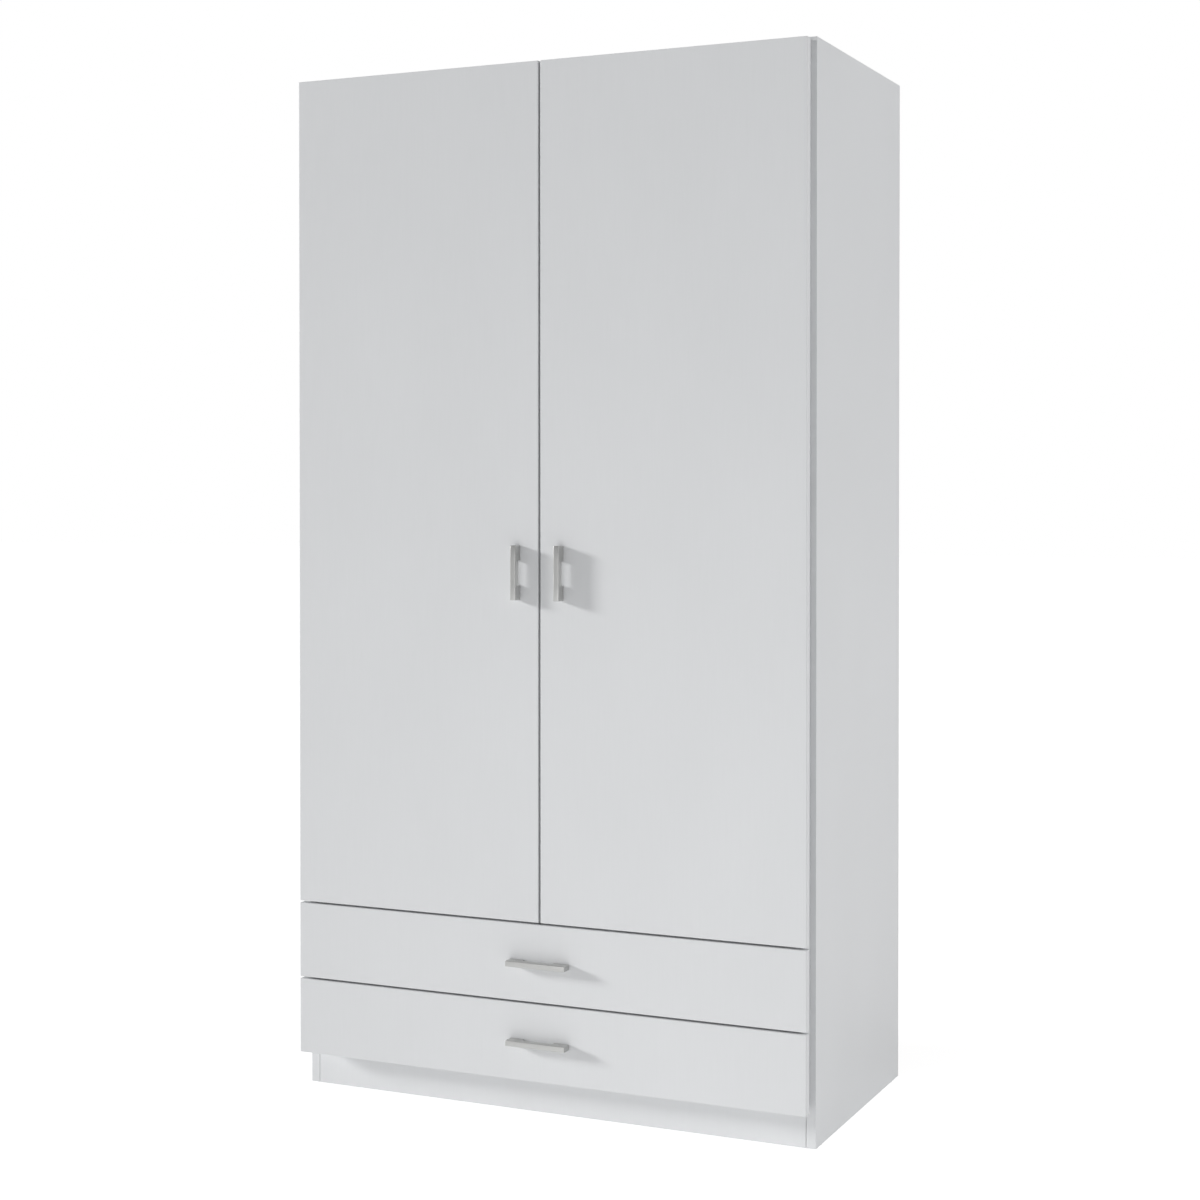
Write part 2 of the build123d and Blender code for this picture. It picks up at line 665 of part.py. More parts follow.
with BuildPart() as cabinet_runners:
    for z_front in drawers.values():
        z_side = z_front + drawer_side_rise
        for sign in sides.values():
            run_y = (runner_front_y, runner_rear_y)
            channel_top = z_side + runner_web_height + 2 * steel
            channel_low = z_side + channel_rise - steel
            span_box((sign * channel_web_x, sign * inner_x), run_y, (channel_low, channel_top))
            lip_x = (sign * (inner_x - runner_lip - steel), sign * inner_x)
            span_box(lip_x, run_y, (channel_low, channel_low + steel))
            span_box(lip_x, run_y, (channel_top - steel, channel_top))
            axle_start = (sign * channel_web_x, front_roller_y, z_side + roller_rise)
            axle_length = channel_web_x - roller_x
            rod(axle_start, (-sign, 0, 0), axle_length, axle_r)
write(cabinet_runners, "cabinet_runners")

for drawer_name, z_front in drawers.items():
    z_side = z_front + drawer_side_rise
    z_roller = z_side + roller_rise
    with BuildPart() as drawer_runners:
        for sign in sides.values():
            run_y = (runner_front_y, drawer_rear_y)
            web_z = (z_side - steel, z_side + runner_web_height)
            span_box((sign * drawer_outer_x, sign * runner_web_x), run_y, web_z)
            ledge_x = (sign * (drawer_outer_x - runner_lip), sign * runner_web_x)
            span_box(ledge_x, run_y, (z_side - steel, z_side))
            flange_x = (sign * drawer_outer_x, sign * (drawer_outer_x + runner_lip + steel))
            span_box(flange_x, run_y, (z_side + flange_rise, z_side + runner_web_height))
            axle_start = (sign * runner_web_x, rear_roller_y, z_roller)
            rod(axle_start, (sign, 0, 0), roller_x + roller_width - runner_web_x, axle_r)
    write(drawer_runners, f"{drawer_name}_drawer_runners")

    for place, roller_y in (("front", front_roller_y), ("rear", rear_roller_y)):
        with BuildPart() as rollers:
            for sign in sides.values():
                rod((sign * roller_x, roller_y, z_roller), (sign, 0, 0), roller_width, roller_r)
            fillet(rollers.edges(), edge_ease)
            for sign in sides.values():
                bore_start = (sign * roller_x, roller_y, z_roller)
                rod(bore_start, (sign, 0, 0), roller_width, axle_r + axle_play, Mode.SUBTRACT)
        write(rollers, f"{drawer_name}_{place}_rollers")
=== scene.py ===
import math

import bpy
import numpy as np
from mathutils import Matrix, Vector


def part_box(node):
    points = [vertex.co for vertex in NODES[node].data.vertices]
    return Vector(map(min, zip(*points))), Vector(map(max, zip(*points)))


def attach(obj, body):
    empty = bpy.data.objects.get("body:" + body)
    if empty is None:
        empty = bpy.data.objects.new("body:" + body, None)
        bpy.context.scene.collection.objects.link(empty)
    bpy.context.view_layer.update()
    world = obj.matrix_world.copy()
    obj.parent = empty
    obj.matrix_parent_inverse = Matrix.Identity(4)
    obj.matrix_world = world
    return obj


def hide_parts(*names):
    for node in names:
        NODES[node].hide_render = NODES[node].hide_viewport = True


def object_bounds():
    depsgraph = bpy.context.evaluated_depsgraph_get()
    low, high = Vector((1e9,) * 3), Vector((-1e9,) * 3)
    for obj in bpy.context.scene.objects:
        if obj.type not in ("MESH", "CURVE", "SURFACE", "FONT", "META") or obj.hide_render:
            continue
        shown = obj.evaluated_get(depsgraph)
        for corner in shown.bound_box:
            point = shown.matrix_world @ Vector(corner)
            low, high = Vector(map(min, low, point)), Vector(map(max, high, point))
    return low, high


bl_info = {
    "name": "Two-door wardrobe",
    "version": (1, 0, 0),
    "blender": (4, 5, 0),
    "location": "3D View > Sidebar > Wardrobe",
    "description": "Finishes, handles, fittings and studio for a white wardrobe with drawers",
    "category": "Object",
}

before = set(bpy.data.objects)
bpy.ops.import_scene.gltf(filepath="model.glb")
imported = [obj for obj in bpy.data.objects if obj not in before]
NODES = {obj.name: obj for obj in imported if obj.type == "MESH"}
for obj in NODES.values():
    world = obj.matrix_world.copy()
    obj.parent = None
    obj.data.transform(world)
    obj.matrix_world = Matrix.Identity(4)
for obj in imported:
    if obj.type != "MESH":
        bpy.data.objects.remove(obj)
CAD_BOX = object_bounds()
MM = 0.001
SIDES = {"left": -1, "right": 1}
DRAWERS = ("upper", "lower")

# Sizes inside CAD pieces that their boxes don't give.
DOOR_POST = 28 * MM          # handle posts, along the bar
DRAWER_POST = 30 * MM
FINGER_DEPTH = 8 * MM        # finger opening under the bar
SCREW_SHANK_R = 2 * MM
SCREW_HEAD = 2.2 * MM
CUP_SCREW_HEAD = 1.2 * MM
CUP_SCREW_OFFSET = 20 * MM   # hinge cup screws, above and below the hinge's middle
CAM_R = 7.5 * MM
ROLLER_WIDTH = 7.5 * MM
ROLLER_BORE_R = 2.05 * MM

SHARP_ANGLE = math.radians(32)   # edges sharper than this aren't smoothed
ARC_STEPS = 6                    # points in a quarter arc
FLOOR_REACH = 30.0


# ---- colours and nodes ---------------------------------------------------
def linear(hex_code):
    """Linear RGB of an sRGB hex colour."""
    parts = [int(hex_code[i:i + 2], 16) / 255 for i in (0, 2, 4)]
    return tuple(c / 12.92 if c <= 0.04045 else ((c + 0.055) / 1.055) ** 2.4 for c in parts)


def add(tree, kind, settings=None, values=None, links=None):
    """Adds one node, sets its properties and its sockets' values, and links its inputs."""
    node = tree.nodes.new(kind)
    for key, value in (settings or {}).items():
        setattr(node, key, value)
    for key, value in (values or {}).items():
        node.inputs[key].default_value = value
    for key, source in (links or {}).items():
        tree.links.new(source, node.inputs[key])
    return node


def surface(name, colour, roughness, metallic=0.0, ior=1.5):
    """Makes a material with a Principled shader and gives back material, tree and shader."""
    material = bpy.data.materials.new(name)
    material.use_nodes = True
    tree = material.node_tree
    shader = tree.nodes["Principled BSDF"]
    shader.inputs["Base Color"].default_value = (*colour, 1.0)
    shader.inputs["Roughness"].default_value = roughness
    shader.inputs["Metallic"].default_value = metallic
    shader.inputs["IOR"].default_value = ior
    return material, tree, shader


def stretched_noise(tree, size_mm, detail=2.0, rough=0.5):
    """Noise on Object coordinates whose grains measure size_mm along X, Y and Z."""
    place = add(tree, "ShaderNodeTexCoord")
    mapping = add(
        tree, "ShaderNodeMapping",
        values={"Scale": tuple(1.0 / (s * MM) for s in size_mm)},
        links={"Vector": place.outputs["Object"]},
    )
    noise = add(
        tree, "ShaderNodeTexNoise",
        values={"Scale": 1.0, "Detail": detail, "Roughness": rough},
        links={"Vector": mapping.outputs["Vector"]},
    )
    return noise.outputs["Fac"]


def spread(tree, fac, low, high, from_low=0.3, from_high=0.7):
    """Maps a noise value to the range low to high."""
    remap = add(
        tree, "ShaderNodeMapRange",
        values={"From Min": from_low, "From Max": from_high, "To Min": low, "To Max": high},
        links={"Value": fac},
    )
    return remap.outputs["Result"]


def tint(tree, fac, colour, depth):
    """The colour, darkened by up to depth where the noise value is low."""
    ramp = add(tree, "ShaderNodeMix", settings={"data_type": "RGBA"}, links={"Factor": fac})
    ramp.inputs["A"].default_value = (*[c * (1 - depth) for c in colour], 1.0)
    ramp.inputs["B"].default_value = (*colour, 1.0)
    return ramp.outputs["Result"]


def bump(tree, shader, height, strength, distance_mm):
    """Feeds a height to the shader's normal."""
    node = add(
        tree, "ShaderNodeBump",
        values={"Strength": strength, "Distance": distance_mm * MM},
        links={"Height": height},
    )
    tree.links.new(node.outputs["Normal"], shader.inputs["Normal"])


def wire(tree, shader, colour, roughness=None):
    """Links a colour, and a roughness where one is given, to the shader."""
    tree.links.new(colour, shader.inputs["Base Color"])
    if roughness is not None:
        tree.links.new(roughness, shader.inputs["Roughness"])


def colour_ramp(tree, fac, low, high):
    """Colour of a noise value between two stops, each a (position, hex colour)."""
    node = add(tree, "ShaderNodeValToRGB", links={"Fac": fac})
    for element, (position, hex_code) in zip(node.color_ramp.elements, (low, high)):
        element.position = position
        element.color = (*linear(hex_code), 1.0)
    return node.outputs["Color"]


# ---- materials -----------------------------------------------------------
def melamine(name, colour, raw_rear=False):
    """Melamine-faced chipboard, pressed on an embossed plate: satin, with faint upright pores.

    The real pores are 0.2 mm wide. They are drawn 3 mm wide and 90 mm long so that they show.
    With raw_rear, faces that look backwards show the bare chipboard core.
    """
    material, tree, shader = surface(name, colour, roughness=0.42)
    pores = stretched_noise(tree, (3.0, 3.0, 90.0), detail=3.0)
    cloud = stretched_noise(tree, (220.0, 220.0, 380.0), detail=1.0)
    grain = spread(tree, pores, 0.0, 1.0)
    white = tint(tree, grain, colour, depth=0.012)
    shade = add(
        tree, "ShaderNodeMix", settings={"data_type": "RGBA", "blend_type": "MULTIPLY"},
        values={"Factor": 1.0}, links={"A": white},
    )
    soft = add(
        tree, "ShaderNodeCombineColor",
        links={k: spread(tree, cloud, 0.985, 1.0) for k in ("Red", "Green", "Blue")},
    )
    tree.links.new(soft.outputs["Color"], shade.inputs["B"])
    face = shade.outputs["Result"]
    rough = spread(tree, pores, 0.38, 0.48)
    if raw_rear:
        chips = stretched_noise(tree, (5.0, 5.0, 2.4), detail=4.0, rough=0.65)
        core = colour_ramp(tree, chips, (0.36, "8a6a48"), (0.62, "cfb48c"))
        facing = add(tree, "ShaderNodeTexCoord")
        axes = add(tree, "ShaderNodeSeparateXYZ", links={"Vector": facing.outputs["Normal"]})
        rear = add(
            tree, "ShaderNodeMath", settings={"operation": "GREATER_THAN"},
            values={1: 0.9}, links={0: axes.outputs["Y"]},
        )
        mixed = add(
            tree, "ShaderNodeMix", settings={"data_type": "RGBA"},
            links={"Factor": rear.outputs["Value"], "A": face, "B": core},
        )
        face = mixed.outputs["Result"]
    wire(tree, shader, face, rough)
    bump(tree, shader, pores, strength=0.10, distance_mm=0.25)
    return material


def brushed_metal(name, colour, along, roughness=0.34):
    """Satin metal, ground with a belt along one axis: long fine scratches spread the shine."""
    material, tree, shader = surface(name, colour, roughness, metallic=1.0)
    scratch_width, scratch_length = 0.5, 25.0   # mm
    size = [scratch_width] * 3
    size["XYZ".index(along)] = scratch_length
    scratches = stretched_noise(tree, size, detail=4.0, rough=0.6)
    shade = tint(tree, spread(tree, scratches, 0.0, 1.0), colour, depth=0.10)
    wire(tree, shader, shade, spread(tree, scratches, roughness - 0.05, roughness + 0.08))
    bump(tree, shader, scratches, strength=0.12, distance_mm=0.04)
    return material


def plated_steel(name, colour, roughness):
    """Pressed steel or die-cast zinc, barrel plated: fairly bright, with a faint cloud in it."""
    material, tree, shader = surface(name, colour, roughness, metallic=1.0)
    cloud = stretched_noise(tree, (6.0, 6.0, 6.0), detail=3.0)
    shade = tint(tree, spread(tree, cloud, 0.0, 1.0), colour, depth=0.14)
    wire(tree, shader, shade, spread(tree, cloud, roughness - 0.04, roughness + 0.08))
    bump(tree, shader, stretched_noise(tree, (1.2, 1.2, 1.2)), strength=0.05, distance_mm=0.03)
    return material


def chromed_tube(name, colour):
    """Bright chromed tube, drawn along X: mirror-like with faint draw lines."""
    material, tree, shader = surface(name, colour, roughness=0.10, metallic=1.0)
    lines = stretched_noise(tree, (160.0, 0.8, 0.8), detail=2.0)
    wire(tree, shader, tint(tree, lines, colour, depth=0.05), spread(tree, lines, 0.07, 0.16))
    return material


def powder_coat(name, colour):
    """Powder-coated steel: semi-gloss with a fine orange peel about 1.5 mm across."""
    material, tree, shader = surface(name, colour, roughness=0.36)
    peel = stretched_noise(tree, (1.5, 1.5, 1.5), detail=1.0)
    wire(tree, shader, tint(tree, peel, colour, depth=0.03))
    bump(tree, shader, peel, strength=0.18, distance_mm=0.08)
    return material


def moulded_plastic(name, colour, roughness, ior=1.49):
    """Moulded plastic, spark-eroded finish: matt with a fine even grain about 0.6 mm across."""
    material, tree, shader = surface(name, colour, roughness, ior=ior)
    grain = stretched_noise(tree, (0.6, 0.6, 0.6), detail=2.0)
    rough = spread(tree, grain, roughness - 0.05, roughness + 0.05)
    wire(tree, shader, tint(tree, grain, colour, depth=0.05), rough)
    bump(tree, shader, grain, strength=0.15, distance_mm=0.04)
    return material


def hardboard(name, white, raw_axis, raw_sign):
    """Hardboard: one face lacquered white, the other raw brown fibre with a fine relief."""
    material, tree, shader = surface(name, white, roughness=0.5)
    fibre = stretched_noise(tree, (2.2, 2.2, 9.0), detail=5.0, rough=0.7)
    brown = colour_ramp(tree, fibre, (0.35, "6f4a2c"), (0.65, "9a7148"))
    facing = add(tree, "ShaderNodeTexCoord")
    axes = add(tree, "ShaderNodeSeparateXYZ", links={"Vector": facing.outputs["Normal"]})
    signed = add(
        tree, "ShaderNodeMath", settings={"operation": "MULTIPLY"},
        values={1: float(raw_sign)}, links={0: axes.outputs[raw_axis]},
    )
    raw = add(
        tree, "ShaderNodeMath", settings={"operation": "GREATER_THAN"},
        values={1: 0.5}, links={0: signed.outputs["Value"]},
    )
    cloud = stretched_noise(tree, (30.0, 30.0, 30.0), detail=3.0)
    lacquer = tint(tree, cloud, white, depth=0.03)
    colour = add(
        tree, "ShaderNodeMix", settings={"data_type": "RGBA"},
        links={"Factor": raw.outputs["Value"], "A": lacquer, "B": brown},
    )
    rough = add(
        tree, "ShaderNodeMapRange", values={"To Min": 0.45, "To Max": 0.85},
        links={"Value": raw.outputs["Value"]},
    )
    wire(tree, shader, colour.outputs["Result"], rough.outputs["Result"])
    bump(tree, shader, fibre, strength=0.15, distance_mm=0.15)
    return material


def turned_beech(name, colour):
    """Turned beech, raw: fine pale grain along Y with short darker flecks."""
    material, tree, shader = surface(name, colour, roughness=0.6)
    grain = stretched_noise(tree, (0.8, 12.0, 0.8), detail=4.0)
    wire(tree, shader, tint(tree, spread(tree, grain, 0.0, 1.0), colour, depth=0.3))
    bump(tree, shader, grain, strength=0.2, distance_mm=0.1)
    return material


def dress(names, material):
    """Gives CAD nodes a material in place of their plain one."""
    for name in names:
        slots = NODES[name].data.materials
        slots.clear()
        slots.append(material)


# ---- mesh making ---------------------------------------------------------
def grid_faces(rows, columns, offset=0):
    """Quads between neighbouring rows of a grid whose columns close on themselves."""
    r, c = np.meshgrid(np.arange(rows - 1), np.arange(columns), indexing="ij")
    here = r * columns + c
    beside = r * columns + (c + 1) % columns
    return np.stack([here, beside, beside + columns, here + columns], -1).reshape(-1, 4) + offset


def tube_faces(rows, columns):
    """Grid quads plus one fan at each end; the two end centres are the last two points."""
    quads = grid_faces(rows, columns).tolist()
    first, last = rows * columns, rows * columns + 1
    around = np.arange(columns)
    beside = (around + 1) % columns
    start = np.stack([np.full(columns, first), beside, around], -1).tolist()
    top = (rows - 1) * columns
    end = np.stack([np.full(columns, last), top + around, top + beside], -1).tolist()
    return quads + start + end


def tube(grid):
    """Points and faces of a closed tube from rows of points, with a centre point at each end."""
    rows, columns = grid.shape[:2]
    points = np.concatenate([grid.reshape(-1, 3), [grid[0].mean(0)], [grid[-1].mean(0)]])
    return points, tube_faces(rows, columns)


def merged(parts):
    """One list of points and one of faces from several."""
    points, faces, count = [], [], 0
    for part_points, part_faces in parts:
        points.append(part_points)
        faces += [[i + count for i in face] for face in part_faces]
        count += len(part_points)
    return np.concatenate(points), faces


def solid(name, parts, material, body, replaced=()):
    """Makes one piece from points in metres, turns its faces outwards and puts it on its body."""
    points, faces = merged(parts)
    mesh = bpy.data.meshes.new(name)
    mesh.from_pydata(points.tolist(), [], faces)
    mesh.materials.append(material)
    mesh.shade_smooth()
    piece = bpy.data.objects.new(name, mesh)
    bpy.context.scene.collection.objects.link(piece)
    bpy.context.view_layer.objects.active = piece
    piece.select_set(True)
    bpy.ops.object.mode_set(mode="EDIT")
    bpy.ops.mesh.select_all(action="SELECT")
    bpy.ops.mesh.normals_make_consistent(inside=False)
    bpy.ops.object.mode_set(mode="OBJECT")
    mesh.set_sharp_from_angle(angle=SHARP_ANGLE)
    piece.select_set(False)
    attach(piece, body)
    if replaced:
        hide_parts(*replaced)
    return piece


def rounded_section(half_width, low, high, radius):
    """Rounded rectangle as arrays across and deep: four quarter arcs joined by straight sides."""
    quarter = np.linspace(0, math.pi / 2, ARC_STEPS)
    angles = np.concatenate([quarter + i * math.pi / 2 for i in range(4)])
    side = np.repeat([1, -1, -1, 1], ARC_STEPS)
    deep = np.repeat([1, 1, -1, -1], ARC_STEPS)
    middle = (low + high) / 2
    half_depth = (high - low) / 2
    across = side * (half_width - radius) + radius * np.cos(angles)
    return across, middle + deep * (half_depth - radius) + radius * np.sin(angles)


def spun(profile, steps):
    """Grid of points: a profile of (radius, height) turned about Z, a row for each point."""
    radius, height = np.array(profile).T
    angle = np.linspace(0, 2 * math.pi, steps, endpoint=False)
    across, deep = radius[:, None] * np.cos(angle), radius[:, None] * np.sin(angle)
    return np.stack([across, deep, np.repeat(height[:, None], steps, axis=1)], -1)


def soft_step(value, width):
    """0 below zero, 1 above the width, and 3t^2 - 2t^3 of t = value / width between them."""
    t = np.clip(value / width, 0, 1)
    return t * t * (3 - 2 * t)


def stamped(grid, reach, half_width, depth, arms):
    """Sinks slots through the middle of a grid's upper face: one arm is a slot, two are a cross.

    Every point above half the top height goes down by the depth times a soft step of its distance
    inside the slot's side, times a soft step of its distance inside the slot's end.
    """
    side_soft, end_soft = half_width * 0.5, reach * 0.2
    x, y, z = grid[..., 0], grid[..., 1], grid[..., 2]
    sunk = np.zeros_like(z)
    for arm in range(arms):
        turn = arm * math.pi / 2
        off = np.abs(x * math.sin(turn) - y * math.cos(turn))
        along = np.hypot(x, y)
        inside = soft_step(half_width - off, side_soft) * soft_step(reach - along, end_soft)
        sunk = np.maximum(sunk, inside)
    upper = z > z.max() / 2
    grid[..., 2] = z - depth * sunk * upper
    return grid


def screw(head_r, head, shank_r, shank):
    """Pan-head screw along Z, its head's seat at zero: an elliptical dome with a stamped cross."""
    around, rings = 40, 9
    dome_end = 1.2                                   # radians of the ellipse, then the top is flat
    rim_share, dome_share = 0.35, 0.65               # of the head's height
    tip_share, flat_share, centre_share = 0.5, 0.95, 0.02
    reach, half_width, depth = head_r * 0.62, head_r * 0.16, head * 0.55
    dome = [
        (head_r * math.cos(a), head * (rim_share + dome_share * math.sin(a)))
        for a in np.linspace(0, dome_end, rings)
    ]
    flat_r = np.linspace(dome[-1][0] * flat_share, head_r * centre_share, rings)
    flat = [(r, head) for r in flat_r]
    tip = [(shank_r * tip_share, -shank), (shank_r, -shank + shank_r)]
    profile = tip + [(shank_r, 0.0), (head_r, 0.0)]
    top = stamped(spun(dome + flat, around), reach, half_width, depth, arms=2)
    return tube(np.concatenate([spun(profile, around), top]))


def cam_disc(radius, thickness):
    """Cam disc along Z, from minus its thickness up to zero: a bevelled rim and a stamped cross."""
    around, rings = 48, 14
    bevel, centre_r = radius * 0.06, radius * 0.02
    reach, half_width, depth = radius * 0.8, radius * 0.14, radius * 0.25
    rows = [(radius - bevel, -thickness), (radius, bevel - thickness), (radius, -bevel)]
    rows += [(r, 0.0) for r in np.linspace(radius - bevel, centre_r, rings)]
    grid = spun(rows, around)
    grid[..., 2] += thickness
    grid = stamped(grid, reach, half_width, depth, arms=2)
    grid[..., 2] -= thickness
    return tube(grid)


def roller(radius, width, bore):
    """Moulded roller along Z: a ring with eased rims, and five ribs between its hub and its tread.

    Its two faces sink between hub and tread by a soft-edged groove, and the groove is filled where
    the cosine of five times the angle is near one, which leaves the ribs.
    """
    around, rings, ribs = 80, 22, 5
    ease, deep = radius * 0.06, width * 0.28
    hub_r, tread_r, edge_soft = bore * 1.8, radius * 0.82, radius * 0.06
    rib_start, rib_soft = 0.8, 0.12                  # of the cosine
    face_r = np.linspace(radius - ease, bore, rings)
    lower_face = [(r, 0.0) for r in face_r[::-1]]
    upper_face = [(r, width) for r in face_r]
    rim = [(radius, ease), (radius, width - ease)]
    grid = spun(lower_face + rim + upper_face, around)
    along = np.hypot(grid[..., 0], grid[..., 1])
    angle = np.arctan2(grid[..., 1], grid[..., 0])
    groove = soft_step(along - hub_r, edge_soft) * soft_step(tread_r - along, edge_soft)
    groove *= 1 - soft_step(np.cos(ribs * angle) - rib_start, rib_soft)
    upper = grid[..., 2] > width / 2
    grid[..., 2] += np.where(upper, -1, 1) * deep * groove
    rows, columns = grid.shape[:2]
    faces = grid_faces(rows + 1, columns) % (rows * columns)
    return grid.reshape(-1, 3), faces.tolist()


def bar_handle(centre, length, post, width, front, back, finger, ease):
    """Bar handle with two block posts, as points (along, across, deep).

    A rounded rectangle is carried along the bar. Its back steps from the door face up to the
    underside of the bar over the finger opening, through quarter arcs of the radius ease, and it
    shrinks by a quarter arc at each end, so every outer edge is eased.
    """
    half, opening = length / 2, length / 2 - post
    arc = [(math.sin(a), math.cos(a)) for a in np.linspace(0, math.pi / 2, ARC_STEPS)]
    under, least_ease = back - finger, ease * 0.3
    stations = [(half - ease + ease * cos, ease * (1 - sin), back) for sin, cos in arc]
    stations += [(opening + ease * (1 - sin), 0.0, back - ease * (1 - cos)) for sin, cos in arc]
    stations += [(opening - ease * (1 - cos), 0.0, under + ease * (1 - sin)) for sin, cos in arc]
    stations += [(-along, inset, deep) for along, inset, deep in reversed(stations)]
    rows = []
    for along, inset, deep in stations:
        radius = max(ease - inset, least_ease)
        across, depth = rounded_section(width / 2 - inset, front + inset, deep, radius)
        rows.append(np.stack([np.full_like(across, along), across, depth], -1))
    points, faces = tube(np.array(rows))
    return points + np.array([centre[0], centre[1], 0.0]), faces


# ---- what a user would change --------------------------------------------
class WardrobeColours(bpy.types.PropertyGroup):
    """Colours of the wardrobe's finishes."""
    board: bpy.props.FloatVectorProperty(
        name="Board white", description="Melamine of doors, drawers and carcass",
        subtype="COLOR", size=3, min=0, max=1, default=linear("e5e6e7"),
    )
    metal: bpy.props.FloatVectorProperty(
        name="Handle metal", description="Satin brushed bar handles",
        subtype="COLOR", size=3, min=0, max=1, default=linear("cfcfcd"),
    )
    nickel: bpy.props.FloatVectorProperty(
        name="Nickel", description="Plated hinges and screws",
        subtype="COLOR", size=3, min=0, max=1, default=linear("c9c6be"),
    )
    zinc: bpy.props.FloatVectorProperty(
        name="Zinc", description="Die-cast cam fittings",
        subtype="COLOR", size=3, min=0, max=1, default=linear("a9a9a6"),
    )
    plastic: bpy.props.FloatVectorProperty(
        name="Plastic", description="Rollers, glides and back strip",
        subtype="COLOR", size=3, min=0, max=1, default=linear("dcdcd6"),
    )


class WardrobeSizes(bpy.types.PropertyGroup):
    """Small sizes that only the looks use."""
    handle_ease: bpy.props.FloatProperty(
        name="Handle edge radius", description="Rounding of the handles' long edges",
        subtype="DISTANCE", unit="LENGTH", default=1.2 * MM, min=0.1 * MM, max=4 * MM,
    )


def colours():
    return bpy.context.scene.wardrobe_colours


def sizes():
    return bpy.context.scene.wardrobe_sizes


def screws_along_y(node, body, material, head):
    """Replaces a CAD node of screws along Y by pan-head ones; the node's box gives their places."""
    low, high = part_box(node)
    level = high.x - low.x > high.z - low.z
    head_r = (high.z - low.z) / 2 if level else (high.x - low.x) / 2
    middle_x, middle_z = (low.x + high.x) / 2, (low.z + high.z) / 2
    if level:
        places = [(x, middle_z) for x in (low.x + head_r, high.x - head_r)]
    elif node.endswith("cup_screws"):
        lowest, highest = low.z + head_r, high.z - head_r
        hinges = (lowest + CUP_SCREW_OFFSET, middle_z, highest - CUP_SCREW_OFFSET)
        places = [(middle_x, z + end * CUP_SCREW_OFFSET) for z in hinges for end in (-1, 1)]
    else:
        places = [(middle_x, z) for z in (low.z + head_r, high.z - head_r)]
    points, faces = screw(head_r, head, SCREW_SHANK_R, high.y - low.y - head)
    parts = [(points[:, [0, 2, 1]] + (x, high.y - head, z), faces) for x, z in places]
    solid(f"{node}_pan_head", parts, material, body, [node])


# ---- operators -----------------------------------------------------------
class WARDROBE_OT_boards(bpy.types.Operator):
    """Finishes the doors, drawer fronts and carcass boards"""
    bl_idname = "wardrobe.boards"
    bl_label = "Boards"

    def execute(self, context):
        white = tuple(colours().board)
        fronts = ["door_left", "door_right"] + [f"{d}_drawer_front" for d in DRAWERS]
        dress(fronts, melamine("melamine_front_satin", white))
        banded = ["plinth_front", "frame_top_rail", "frame_stile_left", "frame_stile_right"]
        dress(banded, melamine("melamine_trim_satin", white))
        raw = ["side_panel_left", "side_panel_right", "top_panel", "cabinet_floor", "base_panel"]
        raw += ["hat_shelf", "rear_base_rail"]
        box_parts = ("side_left", "side_right", "back")
        raw += [f"{d}_drawer_{part}" for d in DRAWERS for part in box_parts]
        dress(raw, melamine("melamine_board_raw_rear_edge", white, raw_rear=True))
        sheet_share = 0.96          # the lacquer is a little darker than the melamine
        sheet = tuple(c * sheet_share for c in white)
        dress(["back_panel_left", "back_panel_right"], hardboard("hardboard_back", sheet, "Y", 1))
        bottoms = [f"{d}_drawer_bottom" for d in DRAWERS]
        dress(bottoms, hardboard("hardboard_bottom", sheet, "Z", -1))
        return {"FINISHED"}


class WARDROBE_OT_handles(bpy.types.Operator):
    """Makes the four bar handles"""
    bl_idname = "wardrobe.handles"
    bl_label = "Bar handles"

    def execute(self, context):
        ease = sizes().handle_ease
        metal = tuple(colours().metal)
        upright = brushed_metal("satin_steel_brushed_upright", metal, "Z")
        level = brushed_metal("satin_steel_brushed_level", metal, "X")
        for side in SIDES:
            node = f"{side}_door_handle"
            low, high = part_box(node)
            length = high.z - low.z
            points, faces = bar_handle(
                ((low.z + high.z) / 2, (low.x + high.x) / 2), length, DOOR_POST,
                high.x - low.x, low.y, high.y, FINGER_DEPTH, ease,
            )
            placed = points[:, [1, 2, 0]]
            solid(f"{node}_bar", [(placed, faces)], upright, f"{side}_door", [node])
        for drawer in DRAWERS:
            node = f"{drawer}_drawer_handle"
            low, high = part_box(node)
            length = high.x - low.x
            points, faces = bar_handle(
                ((low.x + high.x) / 2, (low.z + high.z) / 2), length, DRAWER_POST,
                high.z - low.z, low.y, high.y, FINGER_DEPTH, ease,
            )
            placed = points[:, [0, 2, 1]]
            solid(f"{node}_bar", [(placed, faces)], level, f"{drawer}_drawer", [node])
        return {"FINISHED"}


